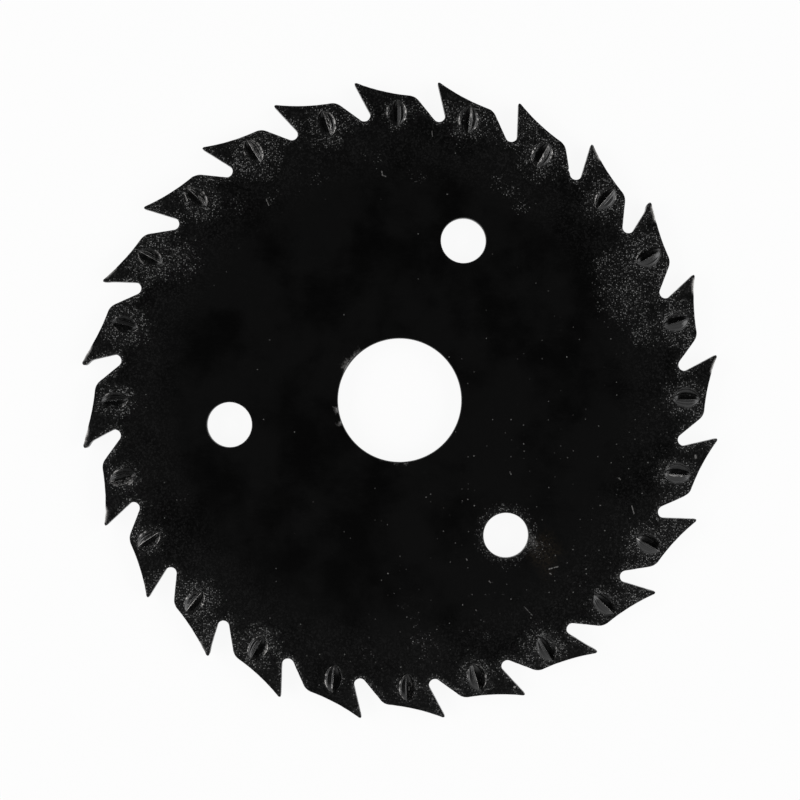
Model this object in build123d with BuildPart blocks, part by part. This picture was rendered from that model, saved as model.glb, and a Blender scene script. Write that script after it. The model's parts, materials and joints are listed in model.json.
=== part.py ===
from build123d import *
import os
from math import acos, cos, degrees, radians, sin, sqrt

# Rasp disc for an angle grinder: one stamped steel blank with hooked saw teeth round its rim
# and a lanced rasp tooth behind each of them. Millimetres and degrees.
#
# The origin is on the bore's axis, on the plane that the disc lies on. +Z points out of the
# working face, where the rasp teeth stand up. Seen from there the disc turns anticlockwise.

# Blank
outside_diameter = 115.0
bore_diameter = 22.23
thickness = 1.5

# Three round holes between the bore and the teeth
hole_count = 3
hole_diameter = 8.1
hole_circle_diameter = 61.8
hole_angle = 68.2

# The bore's and the holes' edges are broken on both faces
edge_break = 0.1

# Saw teeth: each hooks forward to its tip, and its hollow back runs to a shoulder
tooth_count = 24
tip_angle = 67.73
tip_land = 0.48
tip_round = 0.2
back_radius = 37.2
shoulder_drop = 2.78
shoulder_lag = 10.66
shoulder_round = 2.5
gullet_depth = 7.02
gullet_radius = 1.07
rake_angle = 19.85

# Lanced teeth: a radial slit, a lip raised behind it and a pocket sunk ahead of it
slit_length = 4.85
slit_setback = 5.9
slit_lag = 7.4
lip_width = 1.7
lip_height = 1.0
pocket_width = 1.9
pocket_depth = 0.8

# The pocket's underside bulges out of the back, so the disc lies on the bulges
back_face = pocket_depth
front_face = back_face + thickness
tip_radius = outside_diameter / 2
tooth_pitch = 360 / tooth_count


def polar(radius, angle):
    """The point at `radius` from the disc's axis, `angle` anticlockwise from +X."""
    return Vector(radius * cos(radians(angle)), radius * sin(radians(angle)))


def gullet_between(tip, next_tip):
    """The space between the back of the tooth at angle `tip` and the face of the one behind it."""
    floor_radius = tip_radius - gullet_depth
    to_centre = floor_radius + gullet_radius
    # the tooth's face passes this far from the disc's axis, and the gullet's arc touches it
    face_offset = tip_radius * sin(radians(rake_angle))
    centre_angle = next_tip - 90 + rake_angle + degrees(acos((face_offset - gullet_radius) / to_centre))
    beyond_rim = tip_radius + gullet_depth
    start = polar(tip_radius, tip)
    shoulder = polar(tip_radius - shoulder_drop, tip - shoulder_lag)
    end = polar(tip_radius, next_tip)
    with BuildSketch() as gullet:
        with BuildLine():
            RadiusArc(start, shoulder, -back_radius)
            floor = CenterArc(polar(to_centre, centre_angle), gullet_radius, 0, 360, mode=Mode.PRIVATE)
            heel = ConstrainedLines(floor, shoulder, selector=lambda lines: lines.sort_by_distance((0, 0))[0])
            face = ConstrainedLines(floor, end, selector=lambda lines: lines.sort_by_distance(shoulder)[-1])
            ThreePointArc(heel @ 0, polar(floor_radius, centre_angle), face @ 0)
            Polyline(end, polar(beyond_rim, next_tip), polar(beyond_rim, tip), start)
        make_face()
        fillet(gullet.vertices().sort_by_distance(shoulder)[0], shoulder_round)
    return gullet.sketch


def dome(width, height):
    """Half a shallow cap. It ends at the slit, along X, stands `height` above the slit's middle,
    and its foot runs from one end of the slit to the other, `width` out on the -Y side."""
    half = slit_length / 2
    centre_y = (half**2 - width**2) / (2 * width)
    centre_z = (height**2 - half**2) / (2 * height)
    with BuildPart() as cap:
        with Locations((0, centre_y, centre_z)):
            Sphere(sqrt(half**2 + centre_y**2 + centre_z**2), rotation=(0, 90, 0))
        split(bisect_by=Plane.XZ, keep=Keep.TOP)
        split(bisect_by=Plane.XY, keep=Keep.TOP)
    return cap.part


def at_slits():
    """The middle of every slit, with X along the slit and +Y in the direction of turning."""
    return PolarLocations(tip_radius - slit_setback, tooth_count, start_angle=tip_angle - slit_lag)


land_angle = degrees(tip_land / tip_radius)
gullet = gullet_between(tip_angle, tip_angle - tooth_pitch + land_angle)
lip = dome(lip_width, lip_height)
pocket = Rotation(180, 0, 0) * dome(pocket_width, pocket_depth)

with BuildPart() as rasp_disc:
    with BuildSketch(Plane.XY.offset(back_face)) as blank:
        Circle(tip_radius)
        with PolarLocations(0, tooth_count):
            add(gullet, mode=Mode.SUBTRACT)
        fillet(
            blank.vertices().filter_by(lambda corner: corner.center().length > tip_radius - tip_land / 2),
            tip_round,
        )
        Circle(bore_diameter / 2, mode=Mode.SUBTRACT)
        with PolarLocations(hole_circle_diameter / 2, hole_count, start_angle=hole_angle):
            Circle(hole_diameter / 2, mode=Mode.SUBTRACT)
    extrude(amount=thickness)
    chamfer(rasp_disc.edges().filter_by(lambda edge: edge.is_closed), edge_break)

    # the sheet keeps its thickness: what is sunk from one face stands out of the other
    with Locations((0, 0, front_face)), at_slits():
        add(pocket, mode=Mode.SUBTRACT)
    with Locations((0, 0, back_face)), at_slits():
        add(lip, mode=Mode.SUBTRACT)
        add(pocket)
    with Locations((0, 0, front_face)), at_slits():
        add(lip)

rasp_disc.part.label = "rasp_disc"
os.makedirs("parts", exist_ok=True)
export_step(rasp_disc.part, "parts/rasp_disc.step")
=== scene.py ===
import json
import math

import bmesh
import bpy
import numpy as np
from bpy.props import FloatProperty, FloatVectorProperty, IntProperty, PointerProperty
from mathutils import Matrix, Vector, geometry, kdtree


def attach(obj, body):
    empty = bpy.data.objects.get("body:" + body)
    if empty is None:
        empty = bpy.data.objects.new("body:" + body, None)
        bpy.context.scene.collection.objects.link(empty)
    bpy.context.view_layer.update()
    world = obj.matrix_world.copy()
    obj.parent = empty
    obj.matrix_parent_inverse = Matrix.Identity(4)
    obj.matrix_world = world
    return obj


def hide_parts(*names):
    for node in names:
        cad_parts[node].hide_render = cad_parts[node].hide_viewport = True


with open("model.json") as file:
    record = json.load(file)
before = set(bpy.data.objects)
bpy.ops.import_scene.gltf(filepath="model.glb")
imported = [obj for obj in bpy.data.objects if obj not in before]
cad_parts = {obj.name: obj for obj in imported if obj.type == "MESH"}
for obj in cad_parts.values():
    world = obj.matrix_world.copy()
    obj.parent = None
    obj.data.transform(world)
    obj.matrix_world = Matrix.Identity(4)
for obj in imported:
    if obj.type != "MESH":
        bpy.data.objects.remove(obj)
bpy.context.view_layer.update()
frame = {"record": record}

bl_info = {
    "name": "Rasp Disc",
    "version": (1, 0, 0),
    "blender": (4, 5, 0),
    "location": "View3D > Sidebar > Rasp Disc",
    "description": "A worn, blackened rasp disc with lanced teeth, and a pale studio to show it in",
    "category": "Object",
}

MM = 0.001
CAD_NODE = "rasp_disc"
SLOT = "blackened_steel"

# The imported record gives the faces, the bore and the hole circle
mounts = {mount["name"]: mount for mount in frame["record"]["mounts"]}
front_height = mounts["front_clamping_face"]["pos_m"][2]
back_height = mounts["back_clamping_face"]["pos_m"][2]
bore_radius = mounts["bore"]["dims"]["r_mm"]
hole_radius = mounts["hole_circle"]["dims"]["hole_r_mm"]
hole_count = mounts["hole_circle"]["dims"]["count"]
hole_circle_radius = mounts["hole_circle"]["dims"]["pcd_mm"] / 2

# How each lanced tooth sits off its even place: millimetres back from the direction of turning, millimetres
# inward, and degrees that its outer end leans forward. Then come the widths of its pocket and its lip, and
# how far the coat is grainy round it. Teeth are numbered clockwise from the one at the top.
AS_PUNCHED = [
    (-0.1, 0.0, 0, 2.0, 1.65, 3.0), (-0.65, -0.4, 9, 2.0, 1.65, 4.2), (0.5, 0.6, 1, 1.95, 1.65, 4.6),
    (0.9, -0.1, 4, 1.75, 1.6, 4.4), (0.2, 0.0, 1, 1.8, 1.7, 5.5), (-0.4, 0.0, 2, 1.9, 1.7, 4.6),
    (0.1, 0.1, 0, 2.05, 1.6, 4.0), (0.2, 0.0, 10, 2.1, 1.65, 3.8), (0.4, 0.0, 0, 1.8, 1.6, 4.2),
    (0.2, -0.2, 0, 1.8, 1.7, 3.2), (-0.1, -0.2, -1, 1.9, 1.6, 4.2), (-0.1, 0.0, 0, 1.9, 1.6, 3.6),
    (-1.0, 0.0, 0, 1.65, 1.4, 2.6), (-1.2, 0.0, 10, 1.55, 1.6, 2.0), (0.2, 0.3, 0, 1.8, 1.65, 4.2),
    (0.8, 0.0, 6, 1.6, 1.6, 4.4), (1.1, 0.1, 4, 1.65, 1.55, 3.0), (-0.2, 0.0, 0, 1.7, 1.6, 3.2),
    (0.2, 0.4, 5, 1.55, 1.6, 3.8), (0.6, 0.4, 0, 1.5, 1.6, 4.4), (0.1, 0.0, 0, 1.7, 1.65, 5.0),
    (0.3, 0.0, 0, 1.8, 1.6, 4.6), (-0.1, -0.2, 1, 1.7, 1.6, 5.2), (0.5, 0.2, 3, 1.8, 1.65, 4.6),
]

# Lips that work has rubbed smooth, and how grey their coat is painted, a grey that stands in for the light on
# their slope
SMOOTH_LIPS_AND_PAINTED_LIGHT = {3: 0.9, 4: 1.0, 5: 0.7, 6: 0.9, 7: 1.0, 8: 0.9, 9: 1.0, 10: 0.9, 11: 0.4, 12: 0.05, 13: 0.05}

# How deep the creases beside the slit are pressed into each lip, in millimetres
CREASES = {
    3: 0.06, 4: 0.05, 5: 0.03, 6: 0.08, 7: 0.02, 8: 0.02, 9: 0.03, 10: 0.05, 11: 0.04, 12: 0.0, 13: 0.0,
    20: 0.11, 21: 0.12, 22: 0.14, 23: 0.14,
}

# Lips whose top is pressed nearly flat
FLAT_LIPS = {12, 13}

# Pockets whose deep part reaches further than half way to their rim
WIDE_POCKETS = {11: 0.72, 4: 0.68, 8: 0.72, 9: 0.6, 12: 0.76, 13: 0.8, 22: 0.62, 23: 0.66}

# Pockets whose slope is as smooth as the lip, with painted grey that stands in for the light on it
SMOOTH_POCKETS_AND_PAINTED_LIGHT = {6, 7}
# Pockets whose rim gets bare steel as a painted highlight over a wide band
WIDE_PAINTED_HIGHLIGHTS = {14, 15, 16, 17, 18}

# Pockets with bright chips in them
CHIPPED_POCKETS = {11: 0.4, 12: 0.7, 17: 1.0}

# Cutting edges that sweep back between the ends of their slit, in millimetres
SWEPT_EDGES = {4: 0.25, 7: 0.1, 16: 0.12}

# Painted highlights: bare steel on stretches of each pocket's rim and each lip's foot, where they shine.
# Where they start and end along the slit, from -1 at its inner end to 1 at its outer end, and how much
POCKET_PAINTED_HIGHLIGHTS = {
    0: [(-0.45, 0.4, 0.85)], 1: [(-0.4, 0.3, 0.95)], 2: [(-1, 0.2, 1.0)], 3: [(-1, 0.0, 1.0)],
    4: [(-1, -0.1, 0.85)], 5: [(-1, -0.6, 0.4)], 7: [(-0.8, -0.4, 0.35)], 8: [(0.6, 1.0, 0.4)],
    10: [(0.3, 0.9, 0.65)], 11: [(-0.1, 0.8, 1.0), (-1, -0.5, 0.6)], 12: [(0.3, 0.9, 0.4)],
    14: [(-0.5, 0.2, 1.3), (-1, -0.5, 0.4)], 15: [(-1, -0.1, 1.2)], 16: [(-1, -0.1, 1.1)],
    17: [(-0.6, -0.05, 1.3), (0.5, 1, 1.3)], 18: [(-1, -0.5, 0.9)], 19: [(0.4, 1, 0.8), (-1, -0.6, 0.7)],
    20: [(0.3, 1, 1.2)], 21: [(0.3, 1, 1.2)], 22: [(0.0, 1, 1.1)], 23: [(0.3, 1, 0.8)],
}
LIP_PAINTED_HIGHLIGHTS = {
    0: [(-0.6, 0.9, 0.75)], 1: [(-0.6, 0.5, 0.7)], 2: [(0.1, 0.9, 0.85)], 3: [(0.3, 0.8, 0.6)],
    9: [(-0.8, 0, 0.3)], 10: [(-0.8, 0.0, 0.45)], 11: [(-0.9, 0.0, 0.8)], 12: [(-1, 0.9, 0.6)],
    13: [(-1, 0.9, 0.6)], 14: [(-1, 0.8, 0.85)], 15: [(-0.4, 0.7, 0.95)], 16: [(-0.2, 0.8, 0.8)],
    17: [(0.1, 0.9, 0.9)], 18: [(0.2, 0.75, 1.0)], 19: [(-1, -0.4, 1.0), (0.5, 0.9, 0.7)],
    20: [(-1, -0.1, 1.0)], 21: [(-1, 0.2, 1.3)], 22: [(-0.9, 0.7, 1.4)], 23: [(-0.9, 0.9, 1.5)],
}

# Stretches of the lip behind the cutting edge where the coat has broken away, given in the same way
WORN_EDGES = {
    1: [(0.1, 0.8, 0.7)], 2: [(-0.6, -0.1, 0.8), (0.4, 0.8, 0.8)], 7: [(-0.6, 0.3, 1.2)],
    8: [(-1, -0.75, 0.8), (0.75, 0.95, 0.8)], 12: [(-0.4, 0.1, 0.5)],
    13: [(0.1, 0.6, 0.8), (-0.85, -0.6, 0.5)], 15: [(0.2, 0.8, 0.5)], 16: [(0.2, 0.55, 0.9)],
    22: [(-0.5, 0.6, 0.5)],
}

# How strongly painted highlight streaks, bare steel, run along the lips that aren't smooth
STREAK_HIGHLIGHTS = {1: 0.6, 14: 0.6, 15: 0.8, 16: 0.5, 17: 0.2, 18: 0.2, 19: 0.2, 20: 0.8, 21: 1.1, 22: 1.4, 23: 1.3}

# How far from its tip each tooth's coat is grainy, in millimetres, clockwise from the top
GRAINY_TIPS = [1.6, 1.4, 9, 6, 2, 1.2, 1, 3.5, 9, 9, 2.2, 3, 4, 2, 2.2, 9, 5, 1.2, 1, 1, 1.4, 4, 3, 3.5]

# Other grainy patches of the coat, in millimetres: place, how far they reach and how grainy they are
GRAIN_PATCHES = [
    (41, 19, 8.0, 0.68), (38, 24, 5.0, 0.64), (44, 12.5, 4.0, 0.68), (17.6, 39.5, 2.4, 0.62),
    (20, 37.4, 2.6, 0.64), (22, 34.8, 2.6, 0.62), (3, 40.3, 3.8, 0.53), (-5, 43.2, 3.8, 0.52),
    (-14.5, 40, 3.0, 0.53), (-18, 37.5, 2.6, 0.48), (-23, 36.5, 3.0, 0.53), (-29, 35, 4.0, 0.54),
    (-40, 25.5, 6.0, 0.66), (5, -44, 6.5, 0.52), (15, -42, 4.5, 0.5), (-6, -45.5, 3.4, 0.5),
    (-45, -17.8, 2.6, 0.54), (-38.5, -17.8, 2.4, 0.5), (25.4, -26.8, 3.4, 0.58), (19.1, -24.2, 5.0, 0.93),
    (23.4, -25.6, 1.4, 1.1), (20, -36, 12, 0.42), (3, -38, 8, 0.44),
]

# Cutting edges whose black coat has broken away, and how much of it is gone
BARE_EDGES = {
    1: 0.5, 2: 0.6, 3: 0.6, 7: 0.6, 8: 0.3, 9: 0.5, 11: 0.5, 12: 0.2, 13: 0.25, 15: 1.0, 16: 1.0, 20: 0.5,
    21: 0.5, 22: 0.7, 23: 0.6,
}

# Tips that have been knocked: how far the point is bent forward and driven in, in millimetres
KNOCKED_TIPS = {
    4: (0.3, 0.2), 10: (0.12, 0.0), 15: (0.1, 0.1), 18: (0.68, 0.2), 19: (0.64, 0.2), 20: (0.12, 0.1),
}

# Tooth backs rubbed round behind their tips, with bare bright metal on them as a painted highlight
RUBBED_AND_HIGHLIT_BACKS = {3: 0.7, 4: 1.0, 5: 1.0, 6: 0.8, 15: 0.5, 16: 0.3, 17: 1.0, 18: 0.6, 19: 0.6, 20: 0.6}

# Nicks in the rim: the angle of the place in degrees, and its radius, width and depth in millimetres
RIM_NICKS = [
    (53.65, 51.3, 0.5, 0.18), (-17.8, 53.0, 0.5, 0.12), (-18.6, 54.4, 0.6, 0.1), (308.3, 57.0, 0.25, 0.2),
]

# Chips along the bore's edge: angle, width in degrees and depth in millimetres
BORE_CHIPS = [
    (140, 24, 0.26), (189, 5, 0.34), (201, 3.5, 0.25), (254, 7, 0.06), (267, 5, 0.14), (276, 5, 0.16),
]

# Scratches and bright marks, in millimetres: one end, the other end, half width and how bright they are
SCRATCHES = [
    (22.4, -37.1, 23.8, -38.6, 0.05, 0.35), (26.9, -30.3, 28.4, -29.9, 0.09, 1.0),
    (27.0, -31.1, 27.2, -31.2, 0.1, 0.8), (23.6, -24.9, 24.1, -25.7, 0.55, 0.16),
    (-3.2, 41.1, -3.1, 40.4, 0.08, 0.7), (-3.1, 40.4, -2.5, 40.2, 0.07, 0.6),
    (-24.0, 36.2, -23.5, 35.0, 0.06, 0.5), (5.8, 48.3, 5.9, 47.4, 0.05, 0.4),
    (41.7, -19.0, 42.1, -20.4, 0.07, 0.7), (39.4, -14.0, 39.6, -14.2, 0.1, 0.9),
    (19.8, -12.9, 20.0, -13.3, 0.08, 0.6), (11.2, -18.1, 11.3, -18.1, 0.07, 0.6),
    (12.0, -28.5, 12.1, -28.7, 0.1, 0.5), (16.1, -32.5, 16.3, -32.7, 0.1, 0.5),
    (33.4, -30.3, 33.5, -30.3, 0.09, 0.7), (36.0, -18.9, 36.1, -18.9, 0.08, 0.6),
    (12.9, -34.9, 13.0, -34.9, 0.08, 0.4), (13.7, -37.7, 13.8, -37.8, 0.08, 0.5),
    (20.6, -51.5, 20.7, -51.5, 0.17, 1.5), (53.1, -10.0, 53.2, -10.3, 0.22, 0.7),
    (10.3, 52.2, 10.4, 52.2, 0.1, 0.5), (4.7, -17.4, 4.8, -17.4, 0.07, 0.4),
    (8.5, 37.0, 8.6, 37.0, 0.07, 0.5), (40.8, 36.2, 41.2, 35.9, 0.3, 0.25),
]

# The middle of the brown stain, in millimetres
STAIN = (26.2, -27.4)

# Where the rows of points run round a lanced tooth, as shares of the way from the slit to the foot of the
# lip or the rim of the pocket, and the rows that can hold a painted highlight streak
POCKET_ROWS = (0.0, 0.12, 0.24, 0.32, 0.38, 0.43, 0.48, 0.53, 0.6, 0.68, 0.76, 0.84, 0.91, 0.96, 1.0)
LIP_ROWS = (
    0.04, 0.08, 0.12, 0.16, 0.21, 0.26, 0.31, 0.36, 0.42, 0.5, 0.6, 0.68, 0.75, 0.82, 0.88, 0.93, 0.97, 1.0,
)
HOLLOW_ROWS = (0.0, 0.2, 0.4, 0.6, 0.8, 0.92, 1.0)
BULGE_ROWS = (0.0, 0.2, 0.4, 0.6, 0.75, 0.88, 1.0)
HIGHLIGHT_STREAK_ROWS = (0.12, 0.26, 0.36, 0.6)

# One pocket in so many is pressed to its full depth, and the disc lies on those
FULL_DEPTH_EVERY = 8

# How square a lip's and a pocket's height is from end to end of the slit: 2 would be a parabola
CROWN_POWER = 3.4

# How far apart the points lie that fill the flat front and back, and how many run round each hole
FRONT_SPACING = 1.3 * MM
BACK_SPACING = 2.4 * MM
BORE_POINTS = 288
HOLE_POINTS = 120

# The studio, in metres: half the floor's side, and each softbox's distance from the disc and its sides
FLOOR_HALF = 2.0
SOFTBOX_DISTANCE = 0.5
SOFTBOX_SIDES = (0.65, 0.28)
SOFTBOX_ELEVATION = math.radians(27.5)


def length(name, description, millimetres, low=0.0):
    """A length property that shows in the scene's units, its default given in millimetres."""
    return FloatProperty(
        name=name, description=description, default=millimetres * MM, min=low, precision=5, subtype="DISTANCE"
    )


def turn(name, description, degrees):
    """An angle property, its default given in degrees."""
    return FloatProperty(name=name, description=description, default=math.radians(degrees), subtype="ANGLE")


def share(name, description, value):
    """A property from none, 0, to all, 1."""
    return FloatProperty(
        name=name, description=description, default=value, min=0.0, max=1.0, subtype="FACTOR"
    )


def colour(name, description, value):
    """A colour property, in linear light."""
    return FloatVectorProperty(
        name=name, description=description, default=value, min=0.0, max=1.0, size=3, subtype="COLOR"
    )


class RaspDiscSizes(bpy.types.PropertyGroup):
    """Sizes of the stamped blank and its teeth."""

    outside_radius: length("Outside radius", "From the axis to the tooth tips", 57.5)
    bore_radius: length("Bore radius", "Radius of the arbor bore", bore_radius)
    hole_radius: length("Hole radius", "Radius of each round hole", hole_radius)
    hole_circle_radius: length("Hole circle radius", "From the axis to each round hole", hole_circle_radius)
    hole_count: IntProperty(name="Holes", description="Round holes near the bore", default=hole_count)
    hole_angle: turn("Hole angle", "Direction of the first round hole, anticlockwise from +X", 68.2)
    hole_break: length("Hole edge break", "Width of the broken edge at the bore and the holes", 0.1)
    tooth_count: IntProperty(name="Teeth", description="Saw teeth round the rim", default=24, min=3)
    tip_angle: turn("Tip angle", "Direction of the first tip's land, anticlockwise from +X", 97.73)
    tip_land: length("Tip land", "Length of the land at each tip", 0.48)
    tip_round: length("Tip rounding", "Radius at each end of the land", 0.2)
    back_radius: length("Back radius", "Radius of each tooth's hollow back", 37.2)
    shoulder_drop: length("Shoulder drop", "From the tip circle down to the shoulder", 2.78)
    shoulder_lag: turn("Shoulder lag", "From the tip back to the shoulder", 10.66)
    shoulder_round: length("Shoulder rounding", "Radius of the shoulder", 2.5)
    gullet_depth: length("Gullet depth", "From the tip circle down to the gullet's floor", 7.02)
    gullet_radius: length("Gullet radius", "Radius of the gullet's floor", 1.07)
    rake_angle: turn("Rake angle", "How far each tooth's face hooks forward", 19.85)
    slit_length: length("Slit length", "Length of each lanced tooth's slit", 4.85)
    slit_setback: length("Slit setback", "From the tip circle in to the slit's middle", 5.9)
    slit_lag: turn("Slit lag", "From the tip back to the slit", 7.4)
    lip_height: length("Lip height", "How far the cutting edge stands out of the front", 1.0)
    pocket_depth: length("Pocket depth", "How far the pocket sinks, and bulges out of the back", 0.8)
    rim_round: length("Rim rounding", "Radius of the rim's front edge", 0.06)
    rim_break: length("Rim break", "Width of the rim's broken back edge", 0.04)
    cutting_edge_round: length("Cutting edge rounding", "How far the cutting edge is rounded over", 0.1)
    outline_step: length("Outline step", "Distance between points along the rim", 0.3)
    random_seed: IntProperty(name="Seed", description="Changes the small irregularities", default=7)


class RaspDiscFinish(bpy.types.PropertyGroup):
    """Colours and surface of the blackened steel."""

    black: colour("Black", "The coat where it is clean and smooth", (0.0005, 0.0005, 0.0005))
    worn_black: colour("Worn black", "The coat where it is handled and dusty", (0.0038, 0.0038, 0.0038))
    haze: colour("Haze", "Faint dust in the coat toward the rim", (0.02, 0.02, 0.02))
    grainy_black: colour("Grainy black", "The coat between its pale grains", (0.0015, 0.0015, 0.0015))
    grain_colour: colour("Grain", "The pale grains of the rough coat", (0.3, 0.3, 0.297))
    rubbed: colour("Rubbed", "The coat where work has rubbed it smooth", (0.018, 0.018, 0.018))
    dust: colour("Dust", "Pinpoint specks that lie on the coat", (0.16, 0.16, 0.155))
    # this grey is painted light: it stands in for the light that the smooth lips' slopes catch
    steel: colour("Steel", "Bare metal at edges and scratches", (0.42, 0.41, 0.4))
    brown: colour("Brown", "Stain beside the lower right hole", (0.0145, 0.0115, 0.008))
    roughness: share("Roughness", "Roughness of the smooth coat", 0.22)
    grain: length("Grain height", "How high the coat's fine grain stands", 0.06)


class RaspDiscStudio(bpy.types.PropertyGroup):
    """The floor, the light and the camera."""

    view_width: length("View width", "Width that the camera shows at the disc's front", 143.65)
    camera_height: length("Camera height", "From the disc's front up to the camera", 257.0)
    camera_right: length("Camera right", "Camera's place right of the axis", 0.07, low=-1.0)
    camera_up: length("Camera up", "Camera's place above the axis in the view", 0.04, low=-1.0)
    floor_colour: colour("Floor", "Colour of the floor", (0.9, 0.9, 0.9))
    overhead: share("Overhead", "Brightness straight above the disc", 0.015)
    around: share("Around", "Brightness of the room, low down on every side", 0.35)
    before: share("Before", "How much brighter the room is on the near side", 0.6)
    softbox_power: FloatProperty(
        name="Softbox power", description="Power of each side lamp", default=1.8, min=0.0, unit="POWER"
    )


class Metal:
    """Collects the points and faces of one closed skin, in metres."""

    def __init__(self):
        self.places = []
        self.bareness = []
        self.graininess = []
        self.faces = []
        self.hard_edges = []
        self.count = 0

    def points(self, flat, height, bare=0.0, grain=np.nan):
        """Adds points over the flat places at a height, and returns their numbers. A grain that isn't
        given is worked out from the place."""
        flat = np.atleast_2d(flat)
        heights = np.broadcast_to(height, len(flat))
        self.places.append(np.column_stack([flat, heights]))
        self.bareness.append(np.broadcast_to(bare, len(flat)))
        self.graininess.append(np.broadcast_to(grain, len(flat)))
        numbers = np.arange(self.count, self.count + len(flat))
        self.count += len(flat)
        return numbers

    def strip(self, one, other, closed=False):
        """Faces between two rows of points that run side by side."""
        if closed:
            one = np.append(one, one[0])
            other = np.append(other, other[0])
        for a, b, c, d in zip(one[:-1], one[1:], other[1:], other[:-1]):
            corners = list(dict.fromkeys((int(a), int(b), int(c), int(d))))
            if len(corners) > 2:
                self.faces.append(corners)

    def strips(self, rows, closed=False):
        """Faces between each row of points and the next."""
        for one, other in zip(rows[:-1], rows[1:]):
            self.strip(one, other, closed)

    def harden(self, row, closed=False):
        """Keeps the edge along a row crisp in shading."""
        ends = np.roll(row, -1) if closed else row[1:]
        self.hard_edges.extend((int(a), int(b)) for a, b in zip(row, ends))

    def flat_face(self, loops, height, spacing, extra=()):
        """Fills a flat face that the first loop bounds and the others pierce. The extra points, which
        are there already, become corners of it too."""
        places = np.vstack(self.places)[:, :2]
        extra = np.asarray(extra, int)
        outlines = [places[loop] for loop in loops]
        filling = spread_points(outlines, spacing)
        numbers = np.concatenate([*loops, self.points(filling, height), extra])
        corners = np.vstack([*outlines, filling, places[extra]])
        edges = []
        first = 0
        for loop in loops:
            edges.extend((first + i, first + (i + 1) % len(loop)) for i in range(len(loop)))
            first += len(loop)
        coords = [Vector(corner) for corner in corners / MM]
        made, _, triangles, origins, _, _ = geometry.delaunay_2d_cdt(coords, edges, [], 0, 1e-7)
        crossings = [tuple(point) for point, origin in zip(made, origins) if len(origin) != 1]
        if crossings:
            raise RuntimeError(f"two outlines of a flat face cross or touch, near {crossings[:6]} mm")
        triangles = np.array(triangles)
        kept = triangles[on_sheet(corners[triangles].mean(axis=1), outlines)]
        self.faces.extend(numbers[kept].tolist())
        for loop in loops:
            self.harden(loop, closed=True)

    def to_object(self, name, grain_at):
        """A closed mesh object with its faces turned outward. Two attributes say how bare each point is, from
        wear or as a painted highlight, and how grainy it is."""
        used, again = np.unique(np.concatenate([np.ravel(face) for face in self.faces]), return_inverse=True)
        renumbered = np.full(self.count, -1)
        renumbered[used] = np.arange(len(used))
        mesh = bpy.data.meshes.new(name)
        faces = [[int(renumbered[corner]) for corner in face] for face in self.faces]
        places = np.vstack(self.places)[used]
        mesh.from_pydata(places.tolist(), [], faces)
        if mesh.validate():
            raise RuntimeError("the skin has a bad face")
        grain = np.concatenate(self.graininess)[used]
        grain = np.where(np.isnan(grain), grain_at(places[:, :2]), grain)
        for kind, values in (("bare", np.concatenate(self.bareness)[used]), ("grain", grain)):
            attribute = mesh.attributes.new(kind, "FLOAT", "POINT")
            attribute.data.foreach_set("value", values.astype(np.float32))
        face_up(mesh)
        mesh.shade_smooth()
        hard = {tuple(sorted((renumbered[a], renumbered[b]))) for a, b in self.hard_edges}
        for edge in mesh.edges:
            edge.use_edge_sharp = tuple(sorted(edge.vertices)) in hard
        piece = bpy.data.objects.new(name, mesh)
        bpy.context.scene.collection.objects.link(piece)
        return piece


def face_up(mesh):
    """Turns every face of a closed mesh outward."""
    work = bmesh.new()
    work.from_mesh(mesh)
    bmesh.ops.recalc_face_normals(work, faces=work.faces)
    loose = [edge for edge in work.edges if not edge.is_manifold]
    if loose:
        raise RuntimeError(f"the skin is open at {len(loose)} edges, first near {loose[0].verts[0].co}")
    work.to_mesh(mesh)
    work.free()


def on_sheet(points, outlines):
    """Which points lie inside an odd number of the outlines."""
    odd = np.zeros(len(points), bool)
    x, y = points[:, :1], points[:, 1:]
    for outline in outlines:
        (x0, y0), (x1, y1) = outline.T, np.roll(outline, -1, axis=0).T
        spans = (y0 > y) != (y1 > y)
        rise = np.where(y1 == y0, 1.0, y1 - y0)
        odd ^= (spans & (x < x0 + (y - y0) * (x1 - x0) / rise)).sum(axis=1) % 2 == 1
    return odd


def spread_points(outlines, spacing):
    """Evenly spread points on a flat face, clear of its outlines."""
    reach = np.abs(outlines[0]).max()
    columns = np.arange(-reach, reach, spacing)
    rows = np.arange(-reach, reach, spacing * math.sqrt(3) / 2)
    grid = np.array([(x + spacing / 2 * (i % 2), y) for i, y in enumerate(rows) for x in columns])
    grid = grid[on_sheet(grid, outlines)]
    return grid[distances(grid, np.vstack(outlines)) > spacing / 2]


def distances(points, targets):
    """How far each point is from the nearest of the targets."""
    tree = kdtree.KDTree(len(targets))
    for number, target in enumerate(targets):
        tree.insert((*target, 0.0), number)
    tree.balance()
    return np.array([tree.find((*point, 0.0))[2] for point in points])


def polar(radius, angle):
    """The point, or points, at that radius and angle."""
    return np.stack([radius * np.cos(angle), radius * np.sin(angle)], axis=-1)


def turned(points, angle):
    """Points turned anticlockwise about the axis."""
    cosine, sine = math.cos(angle), math.sin(angle)
    return points @ np.array([[cosine, sine], [-sine, cosine]])


def bearing(vector):
    """The angle of a vector, anticlockwise from +X."""
    return math.atan2(vector[1], vector[0])


def smooth(value, low, high):
    """Rises softly from 0 at low to 1 at high."""
    along = np.clip((value - low) / (high - low), 0, 1)
    return along * along * (3 - 2 * along)


def rough(count, size, rng, rounds=2, closed=False):
    """Random ups and downs along a row, softened by a few rounds of averaging."""
    values = rng.normal(0, size, count)
    for _ in range(rounds):
        if closed:
            values = (np.roll(values, 1) + 2 * values + np.roll(values, -1)) / 4
        else:
            values[1:-1] = (values[:-2] + 2 * values[1:-1] + values[2:]) / 4
    return values


def straight(start, end, step):
    """Evenly spaced points from start up to, but not at, end."""
    count = max(2, round(np.hypot(*(end - start)) / step))
    return start + np.linspace(0, 1, count, endpoint=False)[:, None] * (end - start)


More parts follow.
